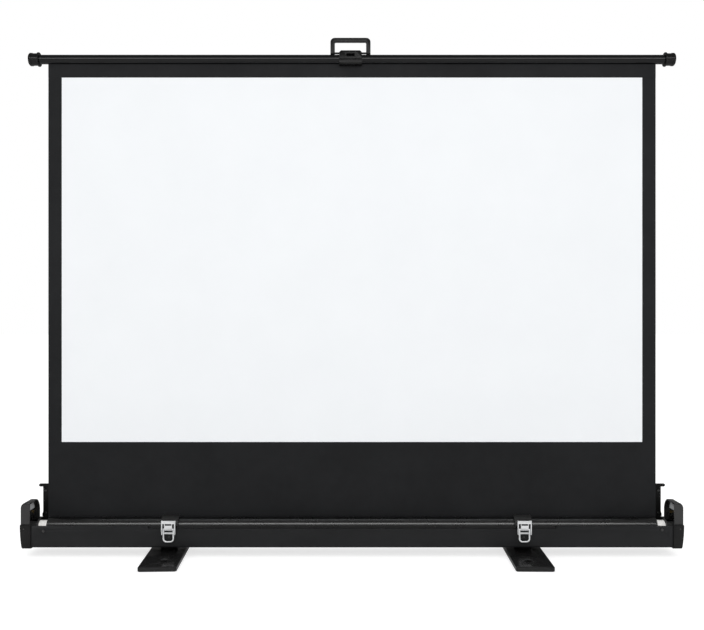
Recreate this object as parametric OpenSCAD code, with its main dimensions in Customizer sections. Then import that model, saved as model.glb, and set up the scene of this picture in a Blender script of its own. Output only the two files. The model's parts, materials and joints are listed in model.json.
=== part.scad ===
// Floor-standing pull-up projection screen, in millimetres.
// X runs along the case, Y points away from the viewer, Z is up from the floor.
// The origin is on the floor, below the middle of the case.

/* [Screen] */
// Width of the white viewing surface
image_w = 1724; // [1700:2:1728]
// Height of the white viewing surface
image_h = 1082; // [900:2:1090]
// Width of the black border at each side
side_border = 40; // [24:1:40]
// Height of the black border under the top bar
top_border = 40; // [20:1:50]
// Height of the black drop, from the roller axis to the image
black_drop = 245; // [150:5:260]
// Thickness of the fabric
fabric_t = 0.4; // [0.3:0.05:0.5]
// Thickness of the white viewing surface
image_t = 0.2; // [0.1:0.05:0.3]

/* [Case] */
// How far the case channel reaches past the fabric at each end
case_over = 31; // [31:0.5:38]
// Depth of the case from front to back
case_d = 106; // [106:1:112]
// Height of the case channel
case_h = 63; // [62:1:66]
// Thickness of the case wall
case_wall = 2.5; // [2:0.1:3]
// Outer radius of the bottom corners of the case
case_corner = 6; // [4:0.5:8]
// Height of the turned lip on the case edges
lip_h = 4; // [3:0.5:5]
// Thickness of the turned lip on the case edges
lip_t = 4; // [3:0.25:4.25]
// How far the middle of the front wall is lowered
front_drop = 7; // [0:1:8]
// Where the lowered front wall starts on the left
low_left = 590; // [570:1:640]
// Where the lowered front wall ends on the right
low_right = 592; // [540:1:640]

/* [End pieces] */
// How far the end caps reach past the case channel
end_over = 27.5; // [27:0.5:31]
// How far the end caps stand proud of the case section
cap_proud = 3; // [1.3:0.1:3.5]
// How far the end caps reach over the case ends
cap_lap = 3; // [2:0.5:5]
// Height of the seam between end cap and ear above the case bottom
seam_h = 66; // [66:0.5:68]
// Wall of the end caps
cap_wall = 5; // [4.5:0.25:5.5]
// Radius of the domed outer face of the end caps
cap_dome_r = 420; // [300:5:480]
// Radius of the upper outer edge of the ears
ear_edge_r = 17; // [10:0.5:18]
// Rise of the ear top towards its outer face
ear_rise = 3.5; // [0:0.5:5]
// Wall of the ears
ear_wall = 3.5; // [3:0.25:4]
// Height of the ears above the seam
ear_h = 65; // [60:0.5:66]
// Radius of the front top corner of the ears
ear_front_r = 6; // [4.5:0.5:12]
// Radius of the rear corner of the ears
ear_rear_r = 38; // [34:1:38]

/* [Roller] */
// Distance of the roller axis in front of the case middle
roller_y = 17; // [16:0.5:17]
// Height of the roller axis above the case bottom
roller_h = 52; // [50:0.5:53]
// Radius of the fabric left on the roller
roll_r = 30; // [29.5:0.1:30.2]
// Outer radius of the roller tube
roller_r = 28.5; // [27.5:0.1:29]
// Wall of the roller tube
roller_wall = 1.5; // [1.2:0.1:2]
// Gap between the fabric edge and the end of its roll
roll_gap = 14; // [2:0.5:15]
// Radius of the visible roller plugs
plug_r = 20; // [18:0.5:21]
// Visible length of the roller plugs
plug_l = 27; // [20:0.5:27]
// Length of the plugs inside the roller tube
spigot_l = 26; // [18:1:32]
// Radius of the shaft bosses on the roller brackets
boss_r = 16; // [14:0.5:17]
// Thickness of the roller bracket plates
bracket_t = 2.5; // [2:0.25:3]
// Radius of the fixed spring shaft
shaft_r = 6; // [5:0.25:7]
// Length of the spring
spring_l = 420; // [300:10:500]
// Mean radius of the spring
spring_r = 14; // [12:0.5:17]
// Radius of the spring wire
spring_wire_r = 1.5; // [1.2:0.1:1.8]
// Number of spring turns
spring_turns = 40; // [30:1:44]

/* [Top bar] */
// Radius of the top bar tube
bar_r = 13.75; // [13:0.25:14]
// Wall of the top bar tube
bar_wall = 1.75; // [1.5:0.25:2.5]
// Gap between the lowered bar and the ears
bar_rest = 2; // [0.5:0.25:3]
// Side play of the bar grooves on the ears
groove_play = 1; // [0.5:0.25:1.5]
// Radius of the rims on the bar ends
rim_r = 21; // [19:0.25:21.5]
// Radius of the outer rim, which passes over the ears
outer_rim_r = 19.25; // [18.5:0.25:19.5]
// Radius of the groove that lands on the ears
groove_r = 18; // [17:0.25:18.5]
// Width of the inner rim
inner_rim_w = 5; // [4:0.5:7]
// Width of the groove
groove_w = 16; // [15.5:0.25:16.5]
// Width of the outer rim
outer_rim_w = 7.5; // [4:0.5:8]

/* [Handle] */
// Where the handle sits along the bar
handle_x = -4.5; // [-20:0.5:20]
// Width of the handle bail
bail_w = 119; // [100:0.5:140]
// Height of the handle bail above its pin
bail_h = 45; // [38:0.5:60]
// Width of the bail section, seen from the front
bail_leg = 13; // [8:0.25:14]
// Thickness of the bail section, front to back
bail_t = 8; // [6:0.25:8]
// Outer corner radius of the bail
bail_corner = 12.8; // [8:0.2:16]
// Width of the handle bracket
saddle_w = 66.5; // [50:0.5:80]
// Radius of the handle pin
handle_pin_r = 3; // [2:0.25:3.25]

/* [Lift arms] */
// Distance of the arm pivots from the middle
pivot_x = 30; // [28:1:34]
// Height of the base pivots above the case bottom
base_pivot_h = 44; // [42:0.5:46]
// Drop of the top pivots below the bar axis
top_pivot_drop = 24.75; // [24:0.25:30]
// Angle of the lower arms above level while the screen is up
arm_raised = 67.2; // [62:0.2:72]
// Width of the arms
arm_w = 24; // [20:0.5:25]
// Thickness of the arms
arm_t = 9; // [7:0.25:9.5]
// Gap between the two layers of arms
layer_gap = 1; // [0.6:0.1:1.2]
// Radius of the pivot pins
pivot_r = 6; // [5:0.25:6.5]
// Number of teeth in a full turn of the linking gears
gear_teeth = 20; // [18:1:22]

/* [Latches] */
// Distance of the left latch from the middle
left_latch = 529.5; // [500:0.5:560]
// Distance of the right latch from the middle
right_latch = 497.5; // [480:0.5:530]
// Width of the latch lever
lever_w = 40; // [38:0.5:44]
// Height of the latch lever
lever_h = 40; // [36:0.5:42]
// Width of the guard strap over the roll
guard_w = 50; // [46:0.5:60]
// Radius of the latch loop wire
loop_wire_r = 2.2; // [1.6:0.1:2.2]
// Height of the latch loop
loop_h = 36; // [32:0.5:40]

/* [Feet] */
// Distance of the left foot pivot from the middle
left_foot = 540; // [500:1:560]
// Distance of the right foot pivot from the middle
right_foot = 504.5; // [480:0.5:530]
// Angle of the left foot, its front end turned towards the middle
left_toe = 2.4; // [0:0.1:6]
// Angle of the right foot, its front end turned towards the middle
right_toe = 1.2; // [0:0.1:6]
// Width of each foot
foot_w = 106; // [80:0.5:108]
// Length of each foot
foot_l = 401; // [340:1:440]
// Height of the top of the foot above the floor
foot_h = 14; // [12:0.5:16]
// Thickness of the rubber under the feet
rubber_t = 1.5; // [1:0.25:2]
// Gap between foot and case, filled by the pivot spacer
foot_gap = 12; // [8:0.5:16]
// Radius of the holes near the foot ends
foot_hole_r = 10; // [6:0.5:12]
// Distance of the foot holes from the foot end
foot_hole_inset = 58; // [30:1:70]
// Sideways place of the foot holes
foot_hole_shift = 9; // [0:0.5:16]
// Radius of the pivot spacer
spacer_r = 24; // [18:0.5:30]
// Radius of the foot pivot bolt
bolt_r = 5; // [4:0.25:6]

/* [Bar guides] */
// Height of the bar guides above the case bottom
guide_h = 169; // [160:1:175]
// Distance of the bar guides from the ends of the case channel
guide_inset = 7.5; // [6:0.5:12]
// Thickness of the guide plate, front to back
guide_t = 3; // [2:0.25:3]
// Width of the guide plate
guide_w = 20; // [16:0.5:24]

/* [Hidden] */
$fn = 48;
run_fit = 0.05;
slide_gap = 0.3;
open_pivot_fit = 0.3;
fabric_half = image_w / 2 + side_border;
case_half = fabric_half + case_over;
end_half = case_half + end_over;
bar_half = case_half - groove_play - inner_rim_w;
guide_half = case_half - guide_inset;
case_z = foot_h + foot_gap;
case_top = case_z + case_h;
case_front = -case_d / 2;
seam_z = case_z + seam_h;
ear_z = seam_z + ear_h;
ear_front = case_front + 1;
ear_rear = -case_front - 21;
ear_outer = end_half - 1.2;
ear_plate = case_half + 17;
axis_y = -roller_y;
axis_z = case_z + roller_h;
roll_half = fabric_half - roll_gap;
plug_end = roll_half + plug_l;
boss_end = plug_end + 29;
sheet_front = axis_y + roll_r + slide_gap;
bar_y = sheet_front + fabric_t / 2;
image_z = axis_z + black_drop;
image_top = image_z + image_h;
bar_z = image_top + top_border + bar_r;
groove_in = bar_half + inner_rim_w;
groove_out = groove_in + groove_w;
rim_out = groove_out + outer_rim_w;
ear_center_y = ear_rear - ear_rear_r;
ear_center_z = ear_z - ear_rear_r;
ear_screw_y = 20;
ear_screw_z = ear_center_z - 5;
bar_low_z = ear_center_z + sqrt(pow(ear_rear_r + groove_r + bar_rest, 2) - pow(bar_y - ear_center_y, 2));
base_pivot_z = case_z + base_pivot_h;
top_pivot_z = bar_z - top_pivot_drop;
arm_angle = arm_raised;
arm_l = (top_pivot_z - base_pivot_z) / 2 / sin(arm_angle);
low_angle = asin((bar_low_z - top_pivot_drop - base_pivot_z) / 2 / arm_l);
wall_in_y = case_d / 2 - case_wall;
upper_back = wall_in_y - 3;
upper_front = upper_back - arm_t;
lower_back = upper_front - layer_gap;
lower_front = lower_back - arm_t;
pin_head_r = pivot_r + 3;
pin_head_t = 2.2;
washer_r = pivot_r + 4;
arm_groove_d = 1.5;
gear_module = 2 * pivot_x / gear_teeth;
gear_tip = pivot_x + 0.8 * gear_module;
gear_root = pivot_x - 1.1 * gear_module;
gear_backlash = 0.25;
handle_z = bar_z + bar_r + handle_pin_r + 1.7;
saddle_top = handle_z + handle_pin_r + 1.5;
saddle_low = bar_z - bar_r - 5;
saddle_front = bar_y - bar_r - 3.5;
latch_x = [-left_latch, right_latch];
foot_x = [-left_foot, right_foot];
foot_turn = [left_toe, -right_toe];
guard_gap = 5;
guard_back = 8;
guard_t = 1.6;
base_t = 2;
base_front = case_front - base_t;
lever_top = case_top + 18;
lever_pin_z = lever_top - 4.5;
guard_low_z = lever_pin_z - 14;
lever_pin_y = base_front - 5;
lever_pin_r = 2;
lever_wall = 3;
lever_back = lever_pin_y + lever_pin_r + 1.5;
lever_bar_t = 1.8;
lever_bar_h = 5;
lever_web_y = lever_pin_y - 6.5;
web_t = 1.5;
web_h = 9;
barrel_r = loop_wire_r + 2;
loop_y = lever_pin_y - 2;
loop_z = lever_top - lever_h + 15;
loop_half = lever_w / 2 - lever_wall - 0.6 - loop_wire_r;
tongue_half = loop_half - loop_wire_r - 0.5;
tongue_gap = 4.5;
ear_in_half = lever_w / 2 - lever_wall - 0.5;
screw_r = 2;
screw_head_r = 3.2;
screw_head_t = 1.4;
roller_screw = [[-(plug_end - 22), case_top - 14], [plug_end - 18, case_top - 11]];
guide_back = wall_in_y - 11.5;
guide_front = guide_back - guide_t;
guide_top = case_z + guide_h;

// Small builders that several pieces share

// A round rod along X
module rod_x(r, from, to, y, z) {
  translate([from, y, z]) rotate([0, 90, 0]) cylinder(r = r, h = to - from);
}

// A round rod along Y
module rod_y(r, from, to, x, z) {
  translate([x, from, z]) rotate([-90, 0, 0]) cylinder(r = r, h = to - from);
}

// A flat outline in Y and Z, drawn out along X
module along_x(from, to) {
  translate([from, 0, 0]) rotate([90, 0, 90]) linear_extrude(to - from) children();
}

// A flat outline in X and Z, drawn out along Y
module along_y(from, to) {
  translate([0, to, 0]) rotate([90, 0, 0]) linear_extrude(to - from) children();
}

// A box given by two corners
module box(low, high) {
  translate(low) cube(high - low);
}

// The right-hand form of a piece, or its mirror image on the left
module on_side(side) {
  mirror([side < 0 ? 1 : 0, 0, 0]) children();
}

// A rectangle whose two lower corners are round
module tray(low, high, r) {
  translate([low.x + r, low.y]) square([high.x - low.x - 2 * r, high.y - low.y]);
  translate([low.x, low.y + r]) square([high.x - low.x, high.y - low.y - r]);
  for (x = [low.x + r, high.x - r]) translate([x, low.y + r]) circle(r);
}

// Case

module case_section() {
  difference() {
    tray([case_front, case_z], [-case_front, case_top], case_corner);
    tray([case_front + case_wall, case_z + case_wall], [-case_front - case_wall, case_top + 1],
      case_corner - case_wall);
  }
  for (y = [case_front, -case_front - lip_t]) translate([y, case_top - lip_h]) square([lip_t, lip_h]);
}

// The room between the case walls, carried on upwards
module case_room() {
  inner = [case_front + case_wall, case_z + case_wall];
  along_x(-end_half, end_half) tray(inner, [-inner.x, guide_top + 1], case_corner - case_wall);
}

module case_shell() {
  color("#1b1c1e") difference() {
    along_x(-case_half, case_half) case_section();
    box([-low_left, case_front - 1, case_top - front_drop], [low_right, 0, case_top + 1]);
    for (x = foot_x) translate([x, 0, case_z - 1]) cylinder(r = bolt_r + run_fit, h = case_wall + 2);
    for (p = roller_screw) rod_y(screw_r + run_fit, case_front - 1, 0, p.x, p.y);
  }
}

// Pan head screws through the front wall into the roller brackets
module case_screws() {
  color("#34363a") for (p = roller_screw) {
    rod_y(screw_head_r + 1, case_front - screw_head_t, case_front, p.x, p.y);
    rod_y(screw_r, case_front - screw_head_t, case_front + case_wall + bracket_t, p.x, p.y);
  }
}

// End caps and ears

module cap_dome(outer, r, shift) {
  rod_y(r, -case_d, case_d, outer - r, shift);
}

module end_cap(side) {
  outer = [case_front - cap_proud, case_z - cap_proud];
  inner = outer + [cap_wall, cap_wall];
  color("#17181a") on_side(side) difference() {
    intersection() {
      along_x(case_half - cap_lap, end_half + 1)
        tray(outer, [-outer.x, seam_z], case_corner + 2);
      cap_dome(end_half, cap_dome_r, seam_z, $fn = 96);
    }
    along_x(case_half - cap_lap - 1, case_half)
      tray([case_front - run_fit, case_z - run_fit], [-case_front + run_fit, seam_z + 1], case_corner);
    intersection() {
      along_x(case_half - 1, end_half)
        tray(inner, [-inner.x, seam_z - 3], case_corner - 2);
      cap_dome(end_half - cap_wall, cap_dome_r, seam_z, $fn = 96);
    }
    box([case_half - 1, ear_front + ear_wall, seam_z - 4], [ear_plate, ear_rear - ear_wall, seam_z + 1]);
    rod_y(screw_r + run_fit, case_front - cap_wall, case_front + cap_wall, end_half - 11, seam_z - 11);
  }
}

module cap_screws() {
  color("#3a3c40") for (side = [-1, 1]) on_side(side) {
    rod_y(screw_r + 0.4, case_front - cap_proud - 0.8, case_front - cap_proud, end_half - 11, seam_z - 11);
    rod_y(screw_r, case_front - cap_proud - 0.8, case_front + 3, end_half - 11, seam_z - 11);
  }
}

// Side view of an ear, drawn in by inset on every side but the bottom
module ear_outline(inset, low_z) {
  front = ear_front + ear_front_r;
  difference() {
    polygon([[ear_front + inset, low_z], [ear_front + inset, ear_z - inset],
      [ear_rear - inset, ear_z - inset], [ear_rear - inset, low_z]]);
    difference() {
      translate([ear_front - 1, ear_z - ear_front_r]) square([ear_front_r + 1, ear_front_r + 1]);
      translate([front, ear_z - ear_front_r]) circle(ear_front_r - inset);
    }
    difference() {
      translate([ear_center_y, ear_center_z]) square(ear_rear_r + 1);
      translate([ear_center_y, ear_center_z]) circle(ear_rear_r - inset);
    }
  }
}

// Front view of an ear: its top rises outwards and meets the outer face in a rounded edge
module ear_front_view(outer, top_z, r) {
  along_y(-case_d, case_d) {
    polygon([[0, 0], [outer - r, 0], [outer - r, top_z], [case_half, top_z - ear_rise], [0, top_z - ear_rise]]);
    square([outer, top_z - r]);
    translate([outer - r, top_z - r]) circle(r, $fn = 96);
  }
}

module end_ear(side) {
  color("#101113") on_side(side) difference() {
    intersection() {
      along_x(case_half, end_half + 1) ear_outline(0, seam_z, $fn = 96);
      ear_front_view(ear_outer, ear_z, ear_edge_r);
    }
    intersection() {
      along_x(case_half - 1, ear_plate) ear_outline(ear_wall, seam_z - 1, $fn = 96);
      ear_front_view(ear_plate, ear_z - ear_wall, ear_edge_r - 2 * ear_wall);
    }
    rod_x(screw_r + run_fit, case_half, ear_plate + 4, ear_screw_y, ear_screw_z);
  }
}

// Light grey felt on the outer wall of each ear, in its upper half
module ear_pads() {
  felt_t = 2.5;
  felt_h = 32;
  edge = 1;
  color("#a9abad") for (side = [-1, 1]) on_side(side) intersection() {
    along_x(ear_plate - felt_t, ear_plate) ear_outline(ear_wall + edge, ear_z - felt_h, $fn = 96);
    ear_front_view(ear_plate, ear_z - ear_wall - edge, ear_edge_r - 2 * ear_wall);
  }
}

module ear_screws() {
  color("#b8923d") for (side = [-1, 1]) on_side(side) {
    rod_x(4.2, ear_plate - 3, ear_plate, ear_screw_y, ear_screw_z);
    rod_x(screw_r, ear_plate - 1, ear_plate + 4, ear_screw_y, ear_screw_z);
  }
}

// Roller and its supports

module roller_bracket(side) {
  screw = roller_screw[side < 0 ? 0 : 1];
  flange_y = case_front + case_wall;
  floor_z = case_z + case_wall;
  plate_x = plug_end + 1;
  plate_rear = axis_y + roll_r + 3;
  color("#26282b") on_side(side) difference() {
    intersection() {
      case_room();
      union() {
        box([plate_x, flange_y, floor_z], [plate_x + bracket_t, plate_rear, axis_z]);
        rod_x(boss_r + 8, plate_x, plate_x + bracket_t, axis_y, axis_z);
        rod_x(boss_r, plate_x, boss_end, axis_y, axis_z);
        box([abs(screw.x) - 8, flange_y, screw.y - 10], [plate_x + 1, flange_y + bracket_t, screw.y + 6]);
        box([plug_end - 24, flange_y, floor_z], [plate_x + 1, plate_rear, floor_z + bracket_t]);
      }
    }
    rod_x(shaft_r + run_fit, plug_end, boss_end - 3, axis_y, axis_z);
    rod_y(screw_r + run_fit, flange_y - 1, flange_y + bracket_t + 1, abs(screw.x), screw.y);
  }
}

module roller_tube() {
  color("#9a9da1") difference() {
    rod_x(roller_r, -roll_half, roll_half, axis_y, axis_z, $fn = 96);
    rod_x(roller_r - roller_wall, -roll_half - 1, roll_half + 1, axis_y, axis_z, $fn = 96);
  }
}

module fabric_roll() {
  color("#222326") difference() {
    rod_x(roll_r, -roll_half, roll_half, axis_y, axis_z, $fn = 96);
    rod_x(roller_r, -roll_half - 1, roll_half + 1, axis_y, axis_z, $fn = 96);
  }
}

module roller_plug(side) {
  color("#ecebe8") on_side(side) difference() {
    union() {
      rod_x(plug_r, roll_half, plug_end, axis_y, axis_z);
      rod_x(roller_r - roller_wall - run_fit, roll_half - spigot_l, roll_half, axis_y, axis_z);
    }
    rod_x(shaft_r + run_fit, roll_half - spigot_l - 1, plug_end + 1, axis_y, axis_z);
  }
}

// Turns with the roller and holds the inner end of the spring
module spring_plug() {
  spring_far = -roll_half + spigot_l + 8 + spring_l;
  color("#c9cacc") difference() {
    rod_x(roller_r - roller_wall - run_fit, spring_far + slide_gap, spring_far + 22, axis_y, axis_z);
    rod_x(shaft_r + run_fit, spring_far - 1, spring_far + 18, axis_y, axis_z);
  }
}

// Fixed shaft on the left with the collar that holds the outer end of the spring
module spring_shaft() {
  spring_near = -roll_half + spigot_l + 8;
  color("#8b8e92") {
    rod_x(shaft_r, -boss_end + 3.2, spring_near + spring_l + 16, axis_y, axis_z);
    rod_x(spring_r + 2, spring_near - 7, spring_near, axis_y, axis_z);
  }
}

spring_rings = 8;
spring_sides = 6;

// Centre line of the spring, t from 0 to 1
function spring_point(t) = let (a = 360 * spring_turns * t, inset = slide_gap + spring_wire_r)
  [-roll_half + spigot_l + 8 + inset + t * (spring_l - 2 * inset),
    axis_y + spring_r * cos(a), axis_z + spring_r * sin(a)];

// Ring of the wire around its centre line at t
function spring_ring(t) = let (a = 360 * spring_turns * t, c = spring_point(t))
  [for (k = [0 : spring_sides - 1]) let (b = 360 * k / spring_sides)
    c + spring_wire_r * [sin(b), cos(b) * cos(a), cos(b) * sin(a)]];

module roller_spring() {
  count = spring_turns * spring_rings;
  points = [for (i = [0 : count]) each spring_ring(i / count)];
  sides = [for (i = [0 : count - 1], k = [0 : spring_sides - 1])
    let (a = i * spring_sides + k, b = i * spring_sides + (k + 1) % spring_sides)
    each [[a, b, b + spring_sides], [a, b + spring_sides, a + spring_sides]]];
  first_end = [for (k = [1 : spring_sides - 2]) [0, k + 1, k]];
  last = count * spring_sides;
  last_end = [for (k = [1 : spring_sides - 2]) [last, last + k, last + k + 1]];
  echo(spring_gap = spring_l / spring_turns - 2 * spring_wire_r);
  color("#74777b") polyhedron(points, concat(sides, first_end, last_end));
}

module idle_pin() {
  color("#8b8e92") rod_x(shaft_r, roll_half - spigot_l - 6, boss_end - 3.2, axis_y, axis_z);
}

// Screen

module screen_fabric() {
  color("#242528")
    box([-fabric_half, sheet_front, axis_z], [fabric_half, sheet_front + fabric_t, hem_z - hem_rod_r]);
}

module image_surface() {
  color("#f6f8fa")
    box([-image_w / 2, sheet_front - image_t, image_z], [image_w / 2, sheet_front, image_top]);
}

hem_rod_r = 2.5;
hem_z = bar_z - bar_r + bar_wall + hem_rod_r;

// Rod in the top hem of the fabric, inside the bar
module hem_rod() {
  color("#6c6f73") rod_x(hem_rod_r, -fabric_half, fabric_half, bar_y, hem_z, $fn = 24);
}

// Top bar

module bar_tube() {
  slot = fabric_t / 2 + 0.5;
  color("#121315") difference() {
    rod_x(bar_r, -bar_half, bar_half, bar_y, bar_z, $fn = 64);
    rod_x(bar_r - bar_wall, -bar_half - 1, bar_half + 1, bar_y, bar_z, $fn = 64);
    box([-fabric_half - 2, bar_y - slot, bar_z - bar_r - 1],
      [fabric_half + 2, bar_y + slot, bar_z - bar_r + bar_wall + 1]);
  }
}

module bar_end(side) {
  color("#141517") on_side(side) {
    rod_x(bar_r - bar_wall - run_fit, bar_half - 20, bar_half, bar_y, bar_z);
    rod_x(rim_r, bar_half, groove_in, bar_y, bar_z, $fn = 64);
    rod_x(groove_r, groove_in, groove_out, bar_y, bar_z, $fn = 64);
    rod_x(outer_rim_r, groove_out, rim_out, bar_y, bar_z, $fn = 64);
    rod_x(outer_rim_r - 2, rim_out, rim_out + 2, bar_y, bar_z, $fn = 64);
  }
}

// Handle

module handle_saddle() {
  chamfer = 5;
  half = saddle_w / 2;
  step_z = bar_z - 2;
  window_half = 12;
  window = [handle_z - 12.5, handle_z - 4.2];
  color("#1d1e21") difference() {
    union() {
      along_y(saddle_front, bar_y + bar_r + 3.5)
        polygon([[handle_x - half, saddle_low], [handle_x + half, saddle_low],
          [handle_x + half, step_z + 1], [handle_x - half, step_z + 1]]);
      along_y(saddle_front + 1.8, bar_y + bar_r)
        polygon([[handle_x - half, step_z], [handle_x + half, step_z],
          [handle_x + half, saddle_top - chamfer], [handle_x + half - chamfer, saddle_top],
          [handle_x - half + chamfer, saddle_top], [handle_x - half, saddle_top - chamfer]]);
    }
    rod_x(bar_r + run_fit, handle_x - half - 1, handle_x + half + 1, bar_y, bar_z, $fn = 64);
    box([handle_x - half - 1, bar_y - 1.5, saddle_low - 1], [handle_x + half + 1, bar_y + 1.5, bar_z]);
    rod_x(handle_pin_r + run_fit, handle_x - half - 1, handle_x + half + 1, bar_y, handle_z);
    box([handle_x - window_half, saddle_front - 1, window[0]],
      [handle_x + window_half, bar_y - 2, window[1]]);
  }
}

module handle_bail() {
  half = bail_w / 2;
  r = bail_corner;
  color("#151618") difference() {
    union() {
      translate([handle_x, 0, handle_z]) along_y(bar_y - bail_t / 2, bar_y + bail_t / 2) difference() {
        union() {
          translate([-half, 0]) square([bail_w, bail_h - r]);
          translate([-half + r, 0]) square([bail_w - 2 * r, bail_h]);
          for (s = [-1, 1]) translate([s * (half - r), bail_h - r]) circle(r);
        }
        translate([-half + bail_leg, -1]) square([bail_w - 2 * bail_leg, bail_h - bail_leg + 1 - 3]);
        translate([-half + bail_leg + 3, -1]) square([bail_w - 2 * bail_leg - 6, bail_h - bail_leg + 1]);
        for (s = [-1, 1]) translate([s * (half - bail_leg - 3), bail_h - bail_leg - 3]) circle(3);
      }
      for (s = [-1, 1])
        rod_x(bail_t / 2, handle_x + s * (half - bail_leg / 2) - bail_leg / 2,
          handle_x + s * (half - bail_leg / 2) + bail_leg / 2, bar_y, handle_z);
    }
    rod_x(handle_pin_r + run_fit, handle_x - half + 2, handle_x + half - 2, bar_y, handle_z);
  }
}

module handle_pin() {
  half = bail_w / 2 - 2.2;
  color("#b9bbbd") rod_x(handle_pin_r, handle_x - half, handle_x + half, bar_y, handle_z);
}

// Lift arms

// Involute angle in degrees at radius r of a gear whose base circle has radius base
function involute(r, base) = r <= base ? 0 : sqrt(r * r / (base * base) - 1) * 180 / PI - acos(base / r);

// One gear tooth on the +X axis of a gear with its centre at the origin
module gear_tooth() {
  base = pivot_x * cos(20);
  half = 90 / gear_teeth - gear_backlash + involute(pivot_x, base);
  radii = [gear_root - 1, base, (base + pivot_x) / 2, pivot_x, (pivot_x + gear_tip) / 2, gear_tip];
  flank = [for (r = radii) [r, half - involute(r, base)]];
  polygon(concat([for (p = flank) p.x * [cos(p.y), -sin(p.y)]],
    [for (i = [len(flank) - 1 : -1 : 0]) flank[i].x * [cos(flank[i].y), sin(flank[i].y)]]));
}

// Gear disc with teeth from the contact line, on the side where turn is 1 or -1
module gear_sector(turn, phase) {
  pitch = 360 / gear_teeth;
  circle(gear_root);
  for (k = [-1 : ceil(65 / pitch)]) rotate(180 + turn * (k + phase) * pitch) gear_tooth();
}

module arm_body() {
  square_end = arm_w / 2;
  translate([0, -square_end]) square([arm_l, arm_w]);
  for (x = [0, arm_l]) translate([x, 0]) circle(square_end);
}

module arm_groove() {
  rim = 5;
  from = pivot_x + arm_w / 2;
  to = arm_l - arm_w;
  translate([from, -arm_w / 2 + rim]) square([to - from, arm_w - 2 * rim]);
}

module lower_arm(side) {
  phase = side < 0 ? 0.5 : 0;
  color("#2a2c2f") on_side(side) translate([pivot_x, 0, base_pivot_z]) difference() {
    union() {
      along_y(lower_front, lower_back) rotate(arm_angle) arm_body();
      along_y(lower_front, lower_back) gear_sector(1, phase);
    }
    along_y(lower_front - 1, lower_front + arm_groove_d) rotate(arm_angle) arm_groove();
    for (reach = [0, arm_l]) rod_y(pivot_r + run_fit, lower_front - 1, lower_back + 1,
      reach * cos(arm_angle), reach * sin(arm_angle));
  }
}

module upper_arm(side) {
  phase = side < 0 ? 0.5 : 0;
  head_fit = side < 0 ? run_fit : open_pivot_fit;
  color("#2a2c2f") on_side(side) translate([pivot_x, 0, top_pivot_z]) difference() {
    union() {
      along_y(upper_front, upper_back) rotate(-arm_angle) arm_body();
      along_y(upper_front, upper_back) gear_sector(-1, phase);
    }
    along_y(upper_back - arm_groove_d, upper_back + 1) rotate(-arm_angle) arm_groove();
    rod_y(pivot_r + head_fit, upper_front - 1, upper_back + 1, 0, 0);
    rod_y(pivot_r + run_fit, upper_front - 1, upper_back + 1,
      arm_l * cos(arm_angle), -arm_l * sin(arm_angle));
  }
}

module washer(x, z) {
  difference() {
    rod_y(washer_r, lower_back + run_fit, upper_front - run_fit, x, z);
    rod_y(pivot_r + run_fit, lower_back, upper_front, x, z);
  }
}

elbow_x = pivot_x + arm_l * cos(arm_angle);
elbow_z = base_pivot_z + arm_l * sin(arm_angle);

module elbow_pin(side) {
  color("#a4a7aa") {
    rod_y(pin_head_r, lower_front - pin_head_t - run_fit, lower_front - run_fit, side * elbow_x, elbow_z);
    rod_y(pivot_r, lower_front - pin_head_t, upper_back + pin_head_t, side * elbow_x, elbow_z);
    rod_y(pin_head_r, upper_back + run_fit, upper_back + pin_head_t + run_fit, side * elbow_x, elbow_z);
  }
}

module elbow_washer(side) {
  color("#e4e3df") washer(side * elbow_x, elbow_z);
}

block_half = pivot_x + 16;
block_over = 14;

// Fixed block on the case floor and rear wall that carries the lower arms
module arm_base_block() {
  floor_z = case_z + case_wall;
  color("#3a3d41") difference() {
    intersection() {
      case_room();
      union() {
        box([-block_half, upper_front, floor_z], [block_half, wall_in_y, base_pivot_z + block_over]);
        box([-block_half, bar_y + 6, floor_z], [block_half, wall_in_y, floor_z + 3]);
      }
    }
    for (s = [-1, 1]) rod_y(pivot_r + run_fit, upper_front - 1, wall_in_y - 2, s * pivot_x, base_pivot_z);
  }
}

module base_pins() {
  color("#a4a7aa") for (s = [-1, 1]) {
    rod_y(pin_head_r, lower_front - pin_head_t - run_fit, lower_front - run_fit, s * pivot_x, base_pivot_z);
    rod_y(pivot_r, lower_front - pin_head_t, wall_in_y - 2.1, s * pivot_x, base_pivot_z);
  }
}

module base_washers() {
  color("#e4e3df") for (s = [-1, 1]) washer(s * pivot_x, base_pivot_z);
}

// Block behind the bar that carries the upper arms
module arm_head_block() {
  color("#3a3d41") difference() {
    box([-block_half, bar_y + 4, top_pivot_z - block_over], [block_half, lower_back, bar_z + 9]);
    rod_x(bar_r, -block_half - 1, block_half + 1, bar_y, bar_z, $fn = 64);
    box([handle_x - saddle_w / 2 - 0.5, bar_y, saddle_low - 0.5],
      [handle_x + saddle_w / 2 + 0.5, bar_y + bar_r + 4, bar_z + 10]);
    box([-block_half - 1, bar_y, top_pivot_z - block_over - 1],
      [block_half + 1, bar_y + bar_r + 1, bar_z - bar_r]);
    for (s = [-1, 1]) rod_y(pivot_r + run_fit, lower_front + 1, lower_back + 1, s * pivot_x, top_pivot_z);
  }
}

module head_pins() {
  color("#a4a7aa") for (s = [-1, 1]) {
    rod_y(pivot_r, lower_front + 1.2, upper_back + pin_head_t, s * pivot_x, top_pivot_z);
    rod_y(pin_head_r, upper_back + run_fit, upper_back + pin_head_t + run_fit, s * pivot_x, top_pivot_z);
  }
}

module head_washers() {
  color("#e4e3df") for (s = [-1, 1]) washer(s * pivot_x, top_pivot_z);
}

// Bar guides

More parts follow.
